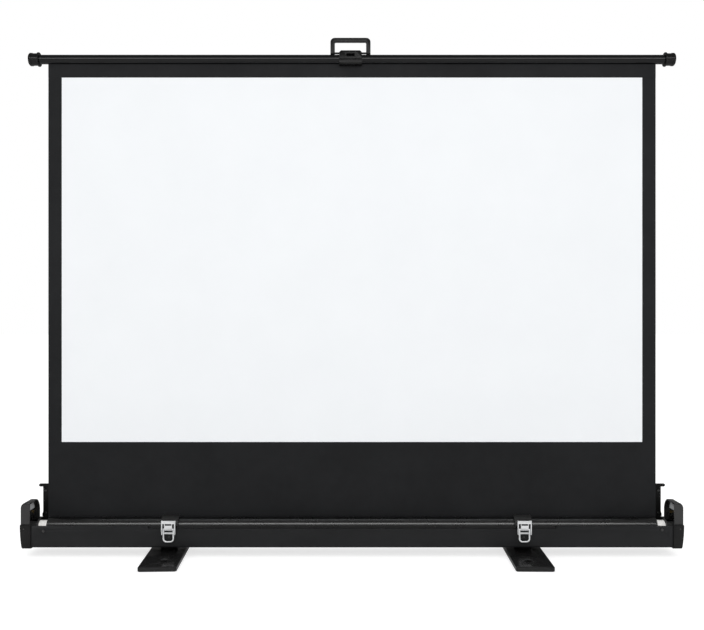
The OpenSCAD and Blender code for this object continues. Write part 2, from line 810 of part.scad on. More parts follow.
module bar_guide(side) {
  floor_z = case_z + case_wall;
  inner = guide_half - guide_w;
  nib_h = 9;
  nib = guide_half + 8;
  bulge = guide_half + 2.5;
  color("#1a1b1d") on_side(side) difference() {
    intersection() {
      case_room();
      union() {
        along_y(guide_front, guide_back) {
          polygon([[inner, floor_z], [guide_half, floor_z], [guide_half, case_top + 8],
            [bulge, case_top + 8], [bulge, case_top + 16], [guide_half, case_top + 23],
            [guide_half, guide_top - nib_h],
            [nib, guide_top - nib_h], [nib, guide_top], [inner, guide_top]]);
          translate([nib, guide_top - nib_h / 2]) circle(nib_h / 2);
        }
        box([inner, guide_front, floor_z], [guide_half, wall_in_y, floor_z + 2]);
        box([inner, guide_front, case_top - 12], [guide_half, wall_in_y, case_top - 8]);
      }
    }
    for (z = guide_rivet_z) rod_y(screw_r + run_fit, guide_front - 1, guide_back + 1, guide_rivet_x, z);
  }
}

guide_rivet_x = guide_half - 7.5;
guide_rivet_z = [case_top + 19, guide_top - 21];

module guide_rivets() {
  color("#55585c") for (side = [-1, 1]) on_side(side) for (z = guide_rivet_z) {
    rod_y(3.4, guide_front - 1.2, guide_front, guide_rivet_x, z);
    rod_y(screw_r, guide_front - 1.2, guide_back + 1, guide_rivet_x, z);
  }
}

// Latches

// Side view of the guard strap: up the case front and over the roll
module guard_outline() {
  inner = roll_r + guard_gap;
  reach = 2 * inner;
  intersection() {
    difference() {
      translate([axis_y, axis_z]) circle(inner + guard_t, $fn = 96);
      translate([axis_y, axis_z]) circle(inner, $fn = 96);
    }
    polygon([[axis_y - reach, guard_low_z], [axis_y - reach, axis_z + reach],
      [axis_y + guard_back, axis_z + reach], [axis_y, guard_low_z]]);
  }
}

module latch_base(x) {
  low_z = loop_z - loop_h + 6;
  inner = roll_r + guard_gap;
  arc_y = axis_y - sqrt(pow(inner, 2) - pow(guard_low_z - axis_z, 2));
  color("#232427") translate([x, 0, 0]) difference() {
    union() {
      along_x(-guard_w / 2, guard_w / 2) guard_outline();
      box([-lever_w / 2, base_front, loop_z - 14], [lever_w / 2, case_front, lever_top - 1]);
      box([-9, base_front, low_z], [9, case_front, loop_z - 10]);
      box([-lever_w / 2, base_front, guard_low_z], [lever_w / 2, arc_y - guard_t / 3, guard_low_z + base_t]);
      for (s = [-1, 1]) along_x(s * (ear_in_half - 1.5) - 1.5, s * (ear_in_half - 1.5) + 1.5) {
        translate([lever_pin_y, lever_pin_z]) circle(4.2);
        translate([lever_pin_y, lever_pin_z - 4.2]) square([case_front - lever_pin_y - 1, 8.4]);
      }
    }
    rod_x(lever_pin_r + run_fit, -lever_w, lever_w, lever_pin_y, lever_pin_z);
    for (z = latch_rivet_z) rod_y(screw_r - 0.5 + run_fit, base_front - 1, case_front + 1, 0, z);
  }
}

latch_rivet_z = [loop_z - 24, guard_low_z - 10];

module latch_rivets() {
  r = screw_r - 0.5;
  color("#4c4f53") for (x = latch_x) for (z = latch_rivet_z) {
    rod_y(r + 1, base_front - 0.8, base_front, x, z);
    rod_y(r, base_front - 0.8, case_front, x, z);
  }
}

module latch_lever(x) {
  half = lever_w / 2;
  low_z = lever_top - lever_h;
  color("#d6d8da") translate([x, 0, 0]) difference() {
    union() {
      box([-half, lever_web_y, lever_top - web_h], [half, lever_web_y + web_t, lever_top]);
      for (from = [-half, half - lever_wall]) along_x(from, from + lever_wall)
        polygon([[lever_web_y, low_z], [lever_back, low_z], [lever_back, lever_pin_z + lever_pin_r],
          [lever_pin_y + lever_pin_r, lever_top], [lever_web_y, lever_top]]);
      box([-half, lever_back - lever_bar_t, low_z], [half, lever_back, low_z + lever_bar_h]);
      along_y(lever_web_y, lever_web_y + web_t) difference() {
        translate([-tongue_half, loop_z]) square([2 * tongue_half, lever_top - web_h + 1 - loop_z]);
        translate([-tongue_half + 2, lever_top - web_h - tongue_gap])
          square([2 * tongue_half - 4, tongue_gap]);
      }
      rod_x(barrel_r, -tongue_half, tongue_half, loop_y, loop_z);
      box([-tongue_half, lever_web_y, loop_z - 0.5], [tongue_half, loop_y, loop_z + barrel_r]);
    }
    rod_x(lever_pin_r + run_fit, -lever_w, lever_w, lever_pin_y, lever_pin_z);
    rod_x(loop_wire_r + run_fit, -lever_w / 2 + lever_wall, lever_w / 2 - lever_wall, loop_y, loop_z);
  }
}

module latch_loop(x) {
  bend = 9;
  low = loop_z - loop_h;
  color("#cfd1d3") translate([x, loop_y, 0]) {
    rod_x(loop_wire_r, -loop_half, loop_half, 0, loop_z);
    for (s = [-1, 1]) {
      translate([s * loop_half, 0, loop_z]) sphere(loop_wire_r);
      translate([s * loop_half, 0, low + bend]) cylinder(r = loop_wire_r, h = loop_h - bend);
      translate([s * (loop_half - bend), 0, low + bend]) rotate([-90, 0, 0])
        rotate([0, 0, s > 0 ? 0 : 90]) rotate_extrude(angle = 90) translate([bend, 0]) circle(loop_wire_r);
    }
    rod_x(loop_wire_r, -loop_half + bend, loop_half - bend, 0, low);
  }
}

module latch_pins() {
  color("#b4b6b8") for (x = latch_x)
    rod_x(lever_pin_r, x - lever_w / 2 + 0.3, x + lever_w / 2 - 0.3, lever_pin_y, lever_pin_z);
}

// Feet

// Plan of a foot with round corners
module foot_plan(inset) {
  r = 5;
  w = foot_w / 2 - inset;
  l = foot_l / 2 - inset;
  translate([-w + r, -l]) square([2 * w - 2 * r, 2 * l]);
  translate([-w, -l + r]) square([2 * w, 2 * l - 2 * r]);
  for (x = [-w + r, w - r], y = [-l + r, l - r]) translate([x, y]) circle(r);
}

module foot_holes(side, r, from, to) {
  y = foot_l / 2 - foot_hole_inset;
  for (s = [-1, 1]) translate([-side * foot_hole_shift, s * y, from]) cylinder(r = r, h = to - from);
}

// A foot and its rubber stand at their pivot, turned by the toe angle
module at_foot(side) {
  i = side < 0 ? 0 : 1;
  translate([foot_x[i], 0, 0]) rotate(foot_turn[i]) children();
}

module foot(side) {
  bevel = 2.5;
  color("#1a1b1d") at_foot(side) difference() {
    union() {
      translate([0, 0, rubber_t]) linear_extrude(foot_h - rubber_t - bevel) foot_plan(0);
      hull() {
        translate([0, 0, foot_h - bevel - 0.1]) linear_extrude(0.1) foot_plan(0, $fn = 32);
        translate([0, 0, foot_h - 0.1]) linear_extrude(0.1) foot_plan(bevel, $fn = 32);
      }
    }
    foot_holes(side, foot_hole_r, 0, foot_h + 1);
    translate([0, 0, rubber_t - 1]) cylinder(r = bolt_r + 5, h = foot_h / 2 + 1 - rubber_t);
    cylinder(r = bolt_r + run_fit, h = foot_h + 1);
  }
}

module foot_rubber(side) {
  color("#2b2c2e") at_foot(side) difference() {
    linear_extrude(rubber_t) foot_plan(2);
    foot_holes(side, foot_hole_r + 2, -1, rubber_t + 1);
    translate([0, 0, -1]) cylinder(r = bolt_r + 7, h = rubber_t + 2);
  }
}

module foot_spacers() {
  color("#141517") for (x = foot_x) translate([x, 0, foot_h + slide_gap]) difference() {
    cylinder(r = spacer_r, h = foot_gap - slide_gap);
    translate([0, 0, -1]) cylinder(r = bolt_r + run_fit, h = foot_gap + 2);
  }
}

// Pivot bolt of each foot with its head in the foot and its nut on the case floor
module foot_bolts() {
  head_z = foot_h / 2 - slide_gap;
  floor_z = case_z + case_wall;
  color("#84878b") for (x = foot_x) translate([x, 0, 0]) {
    translate([0, 0, head_z - 3.4]) cylinder(r = bolt_r + 3.5, h = 3.4);
    translate([0, 0, head_z - 1]) cylinder(r = bolt_r, h = floor_z + 8 - head_z);
    translate([0, 0, floor_z]) cylinder(r = bolt_r + 4.5, h = 5, $fn = 6);
  }
}

echo(bar_z = bar_z, bar_low_z = bar_low_z, bar_y = bar_y, arm_angle = arm_angle, low_angle = low_angle);
echo(lift_range = arm_angle - low_angle, elbow_x = elbow_x, elbow_z = elbow_z, top_pivot_z = top_pivot_z);
echo(axis_y = axis_y, axis_z = axis_z, handle_z = handle_z, base_pivot_z = base_pivot_z);
echo(lever_pin_y = lever_pin_y, lever_pin_z = lever_pin_z, loop_y = loop_y, loop_z = loop_z);
echo(sheet_front = sheet_front);

case_shell();
case_screws();
end_cap(-1);  // end_cap_left
end_cap(1);  // end_cap_right
cap_screws();
end_ear(-1);  // end_ear_left
end_ear(1);  // end_ear_right
ear_pads();
ear_screws();
roller_bracket(-1);  // roller_bracket_left
roller_bracket(1);  // roller_bracket_right
roller_tube();
fabric_roll();
roller_plug(-1);  // roller_plug_left
roller_plug(1);  // roller_plug_right
spring_plug();
spring_shaft();
roller_spring();
idle_pin();
screen_fabric();
image_surface();
hem_rod();
bar_tube();
bar_end(-1);  // bar_end_left
bar_end(1);  // bar_end_right
handle_saddle();
handle_bail();
handle_pin();
arm_head_block();
head_pins();
head_washers();
arm_base_block();
base_pins();
base_washers();
lower_arm(-1);  // lower_arm_left
lower_arm(1);  // lower_arm_right
upper_arm(-1);  // upper_arm_left
upper_arm(1);  // upper_arm_right
elbow_pin(-1);  // elbow_pin_left
elbow_pin(1);  // elbow_pin_right
elbow_washer(-1);  // elbow_washer_left
elbow_washer(1);  // elbow_washer_right
bar_guide(-1);  // bar_guide_left
bar_guide(1);  // bar_guide_right
guide_rivets();
latch_base(latch_x[0]);  // latch_base_left
latch_base(latch_x[1]);  // latch_base_right
latch_lever(latch_x[0]);  // latch_lever_left
latch_lever(latch_x[1]);  // latch_lever_right
latch_loop(latch_x[0]);  // latch_loop_left
latch_loop(latch_x[1]);  // latch_loop_right
latch_pins();
latch_rivets();
foot(-1);  // foot_left
foot(1);  // foot_right
foot_rubber(-1);  // foot_rubber_left
foot_rubber(1);  // foot_rubber_right
foot_spacers();
foot_bolts();
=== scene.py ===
import json
import math
import bpy
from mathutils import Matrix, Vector

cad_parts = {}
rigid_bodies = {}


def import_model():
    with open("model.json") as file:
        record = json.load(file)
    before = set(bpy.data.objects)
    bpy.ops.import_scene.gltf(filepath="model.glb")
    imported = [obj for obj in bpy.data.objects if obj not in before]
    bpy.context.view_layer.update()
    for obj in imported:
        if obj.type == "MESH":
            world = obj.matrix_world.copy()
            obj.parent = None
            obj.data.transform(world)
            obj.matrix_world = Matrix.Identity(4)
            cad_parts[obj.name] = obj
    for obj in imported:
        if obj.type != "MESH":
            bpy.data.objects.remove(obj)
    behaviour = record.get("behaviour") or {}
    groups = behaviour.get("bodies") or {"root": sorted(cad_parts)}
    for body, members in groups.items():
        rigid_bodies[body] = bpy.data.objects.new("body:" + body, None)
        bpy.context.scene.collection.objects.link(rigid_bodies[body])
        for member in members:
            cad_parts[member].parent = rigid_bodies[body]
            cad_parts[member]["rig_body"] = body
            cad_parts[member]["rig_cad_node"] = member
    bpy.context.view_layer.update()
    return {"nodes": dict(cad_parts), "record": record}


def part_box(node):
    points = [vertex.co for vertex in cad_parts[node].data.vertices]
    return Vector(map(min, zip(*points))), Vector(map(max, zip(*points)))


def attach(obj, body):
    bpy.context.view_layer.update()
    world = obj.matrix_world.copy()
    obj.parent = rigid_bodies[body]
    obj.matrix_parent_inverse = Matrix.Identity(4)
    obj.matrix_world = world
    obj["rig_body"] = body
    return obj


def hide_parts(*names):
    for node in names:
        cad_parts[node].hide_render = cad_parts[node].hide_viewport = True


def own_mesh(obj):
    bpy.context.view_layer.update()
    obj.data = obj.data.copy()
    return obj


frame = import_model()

nodes = frame["nodes"]
slotOf = {part["node"]: part["material_slot"] for part in frame["record"]["subparts"]}
bodyOf = {name: piece["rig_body"] for name, piece in nodes.items()}
sideName = {-1: "left", 1: "right"}
print("frame loaded,", len(nodes), "nodes")

# Camera, light and floor

stageLook = {
    "cameraPlace": (0, -2.553, 0.700),
    "lens": 44.18,
    "sensor": 36,
    "backgroundGlow": 1.0,      # what the camera sees past the floor
    "roomGlow": 1.00,           # light from all round
    "roomGloss": 0.18,          # the room as it shows in glossy surfaces
    "floorRadius": 30,
    "floorPlace": (0, 0, -0.0005),
    "floorTone": (0.55, 0.55, 0.55, 1),
    "floorRoughness": 0.9,
    "floorSpecular": 0.1,
    "floorGlow": 0.66,          # added to what the picture shows of the floor
    "lights": {
        # name: place, point it faces, width, height, watts, lights matt surfaces, shows in glossy ones
        "softStrip": ((0, -1.62, 1.94), (0, 0, 0.75), 3.4, 0.45, 19, False, True),
        "softFront": ((0, -4.2, 1.9), (0, 0, 0.75), 3.6, 1.8, 44, True, False),
        "sideLeft": ((-2.6, -1.5, 0.7), (-0.4, 0, 0.4), 0.35, 1.5, 9, False, True),
        "sideRight": ((2.6, -1.5, 0.7), (0.4, 0, 0.4), 0.35, 1.5, 9, False, True),
    },
}


def deselectAll():
    if bpy.context.object and bpy.context.object.mode != "OBJECT":
        bpy.ops.object.mode_set(mode="OBJECT")
    bpy.ops.object.select_all(action="DESELECT")


def pickOnly(piece):
    deselectAll()
    piece.select_set(True)
    bpy.context.view_layer.objects.active = piece


def makeCamera(look):
    deselectAll()
    bpy.ops.object.camera_add(location=look["cameraPlace"], rotation=(math.radians(90), 0, 0))
    camera = bpy.context.object
    camera.name = "photoCamera"
    camera.data.lens = look["lens"]
    camera.data.sensor_width = look["sensor"]
    bpy.context.scene.camera = camera


def makeLamps(look):
    for name, (place, target, width, height, power, matt, gloss) in look["lights"].items():
        deselectAll()
        bpy.ops.object.light_add(type="AREA", location=place)
        lamp = bpy.context.object
        lamp.name = name
        lamp.data.shape = "RECTANGLE"
        lamp.data.size = width
        lamp.data.size_y = height
        lamp.data.energy = power
        lamp.visible_diffuse = matt
        lamp.visible_glossy = gloss
        facing = Vector(target) - Vector(place)
        lamp.rotation_euler = facing.to_track_quat("-Z", "Y").to_euler()


def makeRoom(look):         # a white room, darker in glossy surfaces
    world = bpy.data.worlds.new("whiteRoom")
    bpy.context.scene.world = world
    world.use_nodes = True
    tree = world.node_tree
    path = tree.nodes.new("ShaderNodeLightPath")
    room = tree.nodes["Background"]
    room.inputs["Color"].default_value = (1, 1, 1, 1)
    glow = None
    for ray, strength in (("Is Glossy Ray", look["roomGloss"]), ("Is Camera Ray", look["backgroundGlow"])):
        mix = tree.nodes.new("ShaderNodeMix")       # inputs 0, 2 and 3 are its plain numbers: factor, A and B
        mix.inputs[2].default_value = look["roomGlow"]
        mix.inputs[3].default_value = strength
        tree.links.new(path.outputs[ray], mix.inputs[0])
        if glow:
            tree.links.new(glow, mix.inputs[2])
        glow = mix.outputs[0]
    tree.links.new(glow, room.inputs["Strength"])


def makeFloor(look):
    deselectAll()
    bpy.ops.mesh.primitive_circle_add(vertices=96, radius=look["floorRadius"], fill_type="NGON",
                                      location=look["floorPlace"])
    floor = bpy.context.object
    floor.name = "studioFloor"
    material = bpy.data.materials.new("paleFloor")
    material.use_nodes = True
    tree = material.node_tree
    shader = tree.nodes["Principled BSDF"]
    shader.inputs["Base Color"].default_value = look["floorTone"]
    shader.inputs["Roughness"].default_value = look["floorRoughness"]
    shader.inputs["Specular IOR Level"].default_value = look["floorSpecular"]
    shader.inputs["Emission Color"].default_value = (1, 1, 1, 1)
    path = tree.nodes.new("ShaderNodeLightPath")
    glow = tree.nodes.new("ShaderNodeMath")
    glow.operation = "MULTIPLY"
    glow.inputs[1].default_value = look["floorGlow"]
    tree.links.new(path.outputs["Is Camera Ray"], glow.inputs[0])
    tree.links.new(glow.outputs["Value"], shader.inputs["Emission Strength"])
    floor.data.materials.append(material)


bpy.context.scene.view_settings.view_transform = "Standard"
makeCamera(stageLook)
makeLamps(stageLook)
makeRoom(stageLook)
makeFloor(stageLook)
print("camera, light and floor made")

# Finishes

grainLook = {
    # scale and detail of the noise behind each kind of finish
    "coatTone": (9, 4), "coatGloss": (60, 5), "coatDetail": 2,
    "brushDetail": 4, "plateTone": (140, 4), "plateGloss": (420, 3), "plateGrain": (260, 2),
    "clothTone": (5, 5), "clothGloss": (24, 4), "feltFluff": (900, 6),
    "usedRange": (0.3, 0.7),    # the part of a noise that tones and gloss are spread over
    "bandLength": 0.314,        # metres from one thread to the next at scale 1
    "bandDistortion": 0.6,
}


class Finish:
    def __init__(self, name):
        self.material = bpy.data.materials.new(name)
        self.material.use_nodes = True
        self.tree = self.material.node_tree
        self.shader = self.tree.nodes["Principled BSDF"]
        self.coords = self.tree.nodes.new("ShaderNodeTexCoord").outputs["Object"]

    def add(self, kind, **settings):
        node = self.tree.nodes.new(kind)
        for key, value in settings.items():
            setattr(node, key, value)
        return node

    def link(self, output, target):
        self.tree.links.new(output, target)

    def drive(self, **outputs):                 # node outputs onto the shader's own sockets
        for key, output in outputs.items():
            self.link(output, self.shader.inputs[key.replace("_", " ")])

    def fix(self, **values):                    # plain numbers on the shader's own sockets
        for key, value in values.items():
            self.shader.inputs[key.replace("_", " ")].default_value = value

    def stretched(self, scale):
        mapping = self.add("ShaderNodeMapping")
        mapping.inputs["Scale"].default_value = scale
        self.link(self.coords, mapping.inputs["Vector"])
        return mapping.outputs["Vector"]

    def cloud(self, scale, detail, vector=None, roughness=0.55):
        node = self.add("ShaderNodeTexNoise")
        node.inputs["Scale"].default_value = scale
        node.inputs["Detail"].default_value = detail
        node.inputs["Roughness"].default_value = roughness
        self.link(vector or self.coords, node.inputs["Vector"])
        return node.outputs["Fac"]

    def spread(self, value, low, high):         # a noise as numbers from low to high
        node = self.add("ShaderNodeMapRange")
        usedLow, usedHigh = grainLook["usedRange"]
        ends = {"From Min": usedLow, "From Max": usedHigh, "To Min": low, "To Max": high}
        for key, number in ends.items():
            node.inputs[key].default_value = number
        self.link(value, node.inputs["Value"])
        return node.outputs["Result"]

    def tones(self, value, dark, light):        # a noise as tones from dark to light
        ramp = self.add("ShaderNodeValToRGB")
        usedLow, usedHigh = grainLook["usedRange"]
        ramp.color_ramp.elements[0].position = usedLow
        ramp.color_ramp.elements[0].color = (*dark, 1)
        ramp.color_ramp.elements[1].position = usedHigh
        ramp.color_ramp.elements[1].color = (*light, 1)
        self.link(value, ramp.inputs["Fac"])
        return ramp.outputs["Color"]

    def times(self, first, second):
        node = self.add("ShaderNodeMath", operation="MULTIPLY")
        self.link(first, node.inputs[0])
        self.link(second, node.inputs[1])
        return node.outputs["Value"]

    def bump(self, height, depth, strength=1.0):
        node = self.add("ShaderNodeBump")
        node.inputs["Distance"].default_value = depth
        node.inputs["Strength"].default_value = strength
        self.link(height, node.inputs["Height"])
        self.drive(Normal=node.outputs["Normal"])


def grey(level, blue=1.0):      # a nearly neutral tone, cooler as blue grows; green follows by 0.3 of that
    return (level, level * (1 + 0.3 * (blue - 1)), level * blue)


def coatedFinish(name, dark, light, rough, grain, depth, specular=0.5, coat=0.0, coatRough=0.1, metal=0.0):
    finish = Finish(name)
    patches = finish.cloud(*grainLook["coatTone"])
    gloss = finish.cloud(*grainLook["coatGloss"])
    finish.drive(Base_Color=finish.tones(patches, dark, light), Roughness=finish.spread(gloss, *rough))
    finish.fix(Metallic=metal, Specular_IOR_Level=specular, Coat_Weight=coat, Coat_Roughness=coatRough)
    finish.bump(finish.cloud(grain, grainLook["coatDetail"]), depth)
    return finish.material


def brushedFinish(name, dark, light, rough, along, metal=1.0, depth=0.00001):
    finish = Finish(name)
    lines = finish.cloud(1, grainLook["brushDetail"], finish.stretched(along))
    finish.drive(Base_Color=finish.tones(lines, dark, light), Roughness=finish.spread(lines, *rough))
    finish.fix(Metallic=metal)
    finish.bump(lines, depth)
    return finish.material


def platedFinish(name, tint, rough, metal=0.4, shade=0.93, depth=0.00002):
    finish = Finish(name)
    haze = finish.cloud(*grainLook["plateTone"])
    gloss = finish.cloud(*grainLook["plateGloss"])
    darker = [part * shade for part in tint]
    finish.drive(Base_Color=finish.tones(haze, darker, tint), Roughness=finish.spread(gloss, *rough))
    finish.fix(Metallic=metal)
    finish.bump(finish.cloud(*grainLook["plateGrain"]), depth, strength=0.5)
    return finish.material


def wovenFinish(name, dark, light, pitch, rough, specular, depth, coat=0.0, coatRough=0.14):
    finish = Finish(name)
    patches = finish.cloud(*grainLook["clothTone"])
    gloss = finish.cloud(*grainLook["clothGloss"])
    finish.drive(Base_Color=finish.tones(patches, dark, light), Roughness=finish.spread(gloss, *rough))
    finish.fix(Specular_IOR_Level=specular, Coat_Weight=coat, Coat_Roughness=coatRough)
    threads = []
    for axis in ("X", "Z"):
        wave = finish.add("ShaderNodeTexWave", wave_type="BANDS", bands_direction=axis, wave_profile="SIN")
        wave.inputs["Scale"].default_value = grainLook["bandLength"] / pitch
        wave.inputs["Distortion"].default_value = grainLook["bandDistortion"]
        finish.link(finish.coords, wave.inputs["Vector"])
        threads.append(wave.outputs["Fac"])
    finish.bump(finish.times(*threads), depth)
    return finish.material


def feltFinish(name, dark, light, rough=(0.85, 1.0), depth=0.0004):
    finish = Finish(name)
    fluff = finish.cloud(*grainLook["feltFluff"], roughness=0.7)
    finish.drive(Base_Color=finish.tones(fluff, dark, light), Roughness=finish.spread(fluff, *rough))
    finish.fix(Sheen_Weight=0.4, Specular_IOR_Level=0.2)
    finish.bump(fluff, depth)
    return finish.material


looks = {
    # coated: name, dark and light tone, roughness range, grain, its depth, specular, coat, coat roughness
    "case_black": coatedFinish("caseCoat", grey(0.0115, 1.1), grey(0.0150, 1.1), (0.34, 0.46),
                               1600, 0.00003, 0.25),
    "cap_black": coatedFinish("capPlastic", grey(0.009), grey(0.013), (0.30, 0.42), 1200, 0.00003, 0.22),
    "ear_black": coatedFinish("earGloss", grey(0.013), grey(0.019), (0.16, 0.26), 500, 0.00001, 0.6, 0.4),
    "bracket_grey": coatedFinish("castGrey", grey(0.035), grey(0.055), (0.35, 0.5), 900, 0.00005, 0.4,
                                 metal=0.3),
    "pin_steel": coatedFinish("blackPin", grey(0.010), grey(0.016), (0.22, 0.34), 900, 0.00001, 0.35),
    "nylon": coatedFinish("whiteNylon", (0.7, 0.69, 0.66), (0.8, 0.79, 0.76), (0.4, 0.55), 700, 0.00003),
    "guide_black": coatedFinish("guideCoat", grey(0.004), grey(0.007), (0.40, 0.52), 1500, 0.00003, 0.15),
    "strap_black": coatedFinish("strapCoat", grey(0.015), grey(0.021), (0.34, 0.46), 1300, 0.00003, 0.3),
    "plug_white": coatedFinish("plugPlastic", (0.80, 0.79, 0.77), (0.88, 0.87, 0.85), (0.32, 0.45),
                               800, 0.00003),
    "bar_black": coatedFinish("barLacquer", grey(0.002, 1.2), grey(0.004, 1.2), (0.12, 0.18),
                              700, 0.000006, 0.30, 0.16, 0.06),
    "bar_end_black": coatedFinish("barEndPlastic", grey(0.004), grey(0.007), (0.18, 0.28), 900, 0.00002, 0.3),
    "handle_black": coatedFinish("handlePlastic", grey(0.005), grey(0.008), (0.22, 0.32),
                                 1000, 0.00003, 0.16),
    "foot_black": coatedFinish("footLacquer", grey(0.0075), grey(0.0095), (0.20, 0.26), 1300, 0.00002, 0.5),
    "rubber": coatedFinish("footRubber", grey(0.012), grey(0.020), (0.7, 0.85), 600, 0.00008, 0.2),
    # brushed: name, dark and light tone, roughness range, how fine the lines are along X, Y and Z
    "brass": brushedFinish("brassScrew", (0.52, 0.36, 0.13), (0.78, 0.58, 0.26), (0.18, 0.34),
                           (300, 900, 900)),
    "plain_steel": brushedFinish("zincSteel", grey(0.42), grey(0.62), (0.25, 0.42), (40, 900, 900)),
    "dark_steel": brushedFinish("blackSteel", grey(0.07), grey(0.13), (0.28, 0.45), (500, 500, 500)),
    "roller_aluminium": brushedFinish("millAluminium", grey(0.5), grey(0.68), (0.3, 0.45), (8, 600, 600)),
    "arm_black": brushedFinish("armAnodised", grey(0.018), grey(0.035), (0.34, 0.48), (300, 300, 12),
                               metal=0.6),
    # plated: name, tint, roughness range
    "chrome": platedFinish("brightNickel", (0.96, 0.97, 0.98), (0.16, 0.26)),
    "chrome_wire": platedFinish("brightWire", (0.96, 0.97, 0.98), (0.18, 0.28)),
    # woven: name, dark and light tone, thread pitch, roughness range, specular, thread depth, coat
    "screen_black": wovenFinish("blackScreenCloth", grey(0.0115, 1.12), grey(0.0150, 1.12), 0.0007,
                                (0.62, 0.78), 0.15, 0.00005),
    "screen_white": wovenFinish("whiteViewing", (0.905, 0.925, 0.945), (0.925, 0.945, 0.965), 0.0006,
                                (0.8, 0.92), 0.1, 0.00002),
    "roll_black": wovenFinish("rolledBacking", grey(0.002), grey(0.004), 0.0007, (0.24, 0.34), 0.45,
                              0.00002, 0.9),
    "grey_felt": feltFinish("greyFelt", (0.36, 0.37, 0.38), (0.56, 0.57, 0.58)),
}
ownLook = {"latch_base_left": "strap_black", "latch_base_right": "strap_black"}     # other than their slot's
print("finishes made:", len(looks))

# Ways of shaping

shapingLook = {
    "mergeWithin": 0.000004,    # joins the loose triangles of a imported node
    "flatWithin": 0.3,          # degrees between triangles that become one face
    "sharpFrom": 30,            # degrees from which an edge is rounded
    "narrowSegments": 2,        # of an edge up to wideEdge
    "wideSegments": 3,          # of a wider one
    "wideEdge": 0.001,
    "smooth": 40,               # degrees up to which a dressed node is shaded smooth
    "axisGap": 0.00002,         # holds a turned outline off its axis until its doubles are merged
    "turnedMergeWithin": 0.00005,
}


def editAll(piece):
    pickOnly(piece)
    bpy.ops.object.mode_set(mode="EDIT")
    bpy.ops.mesh.select_all(action="SELECT")


def toObject():
    bpy.ops.object.mode_set(mode="OBJECT")


def shapeWith(piece, kind, **settings):
    pickOnly(piece)
    modifier = piece.modifiers.new(kind.lower(), kind)
    for key, value in settings.items():
        setattr(modifier, key, value)
    bpy.ops.object.modifier_apply(modifier=modifier.name)


def finishPiece(piece, body, slotName, smooth, replaced=(), look=None):
    pickOnly(piece)
    bpy.ops.object.transform_apply(location=True, rotation=True, scale=True)
    bpy.ops.object.shade_smooth_by_angle(angle=math.radians(smooth))
    piece.data.materials.clear()
    piece.data.materials.append(looks[look or slotName])
    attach(piece, body)
    if replaced:
        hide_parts(*replaced)
    return piece


def pieceName(nodeName):
    words = nodeName.split("_")
    return words[0] + "".join(word.title() for word in words[1:]) + "Piece"


def drawOutline(name, points, closed=False):    # a line of edges through the points
    deselectAll()
    bpy.ops.mesh.primitive_plane_add(size=0.001, location=points[0])    # merged into the first point
    piece = bpy.context.object
    piece.name = name
    bpy.ops.object.transform_apply(location=True, rotation=True, scale=True)
    editAll(piece)
    bpy.ops.mesh.merge(type="CENTER")
    for before, after in zip(points, points[1:]):
        step = [b - a for a, b in zip(before, after)]
        bpy.ops.mesh.extrude_vertices_move(TRANSFORM_OT_translate={"value": step})
    if closed:
        bpy.ops.mesh.select_all(action="SELECT")
        bpy.ops.mesh.edge_face_add()
    toObject()
    return piece


def spinPiece(name, profile, axisY, axisZ, around):
    # the profile's points are (x, radius), turned about the line through axisY, axisZ
    gap = shapingLook["axisGap"]
    piece = drawOutline(name, [(x, axisY, axisZ + max(radius, gap)) for x, radius in profile])
    editAll(piece)
    bpy.ops.mesh.spin(steps=around, angle=2 * math.pi, center=(0, axisY, axisZ), axis=(1, 0, 0))
    bpy.ops.mesh.select_all(action="SELECT")
    bpy.ops.mesh.remove_doubles(threshold=shapingLook["turnedMergeWithin"])
    bpy.ops.mesh.normals_make_consistent(inside=False)
    toObject()
    return piece


def drawOutPiece(name, outline, distance):      # a closed outline, filled and drawn out by distance
    piece = drawOutline(name, outline, closed=True)
    editAll(piece)
    bpy.ops.mesh.extrude_region_move(TRANSFORM_OT_translate={"value": distance})
    bpy.ops.mesh.select_all(action="SELECT")
    bpy.ops.mesh.normals_make_consistent(inside=False)
    toObject()
    return piece


def dressNode(nodeName, edge, segments):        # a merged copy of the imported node, its hard edges rounded
    source = nodes[nodeName]
    piece = source.copy()
    piece.data = source.data.copy()
    piece.parent = None
    piece.name = pieceName(nodeName)
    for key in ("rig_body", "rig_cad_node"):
        del piece[key]
    bpy.context.scene.collection.objects.link(piece)
    editAll(piece)
    bpy.ops.mesh.remove_doubles(threshold=shapingLook["mergeWithin"])
    bpy.ops.mesh.customdata_custom_splitnormals_clear()
    bpy.ops.mesh.dissolve_limited(angle_limit=math.radians(shapingLook["flatWithin"]))
    toObject()
    if edge:
        shapeWith(piece, "BEVEL", width=edge, segments=segments, limit_method="ANGLE",
                  angle_limit=math.radians(shapingLook["sharpFrom"]), use_clamp_overlap=True)
    return finishPiece(piece, bodyOf[nodeName], slotOf[nodeName], shapingLook["smooth"], [nodeName],
                       ownLook.get(nodeName))


def middle(box, axis):
    return (box[0][axis] + box[1][axis]) / 2


def reach(box):             # how far a piece goes from the middle of the screen, on either side
    return max(abs(box[0][0]), abs(box[1][0]))


def mirrored(profile, side):
    return [(side * x, radius) for x, radius in profile]


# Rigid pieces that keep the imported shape, with rounded edges

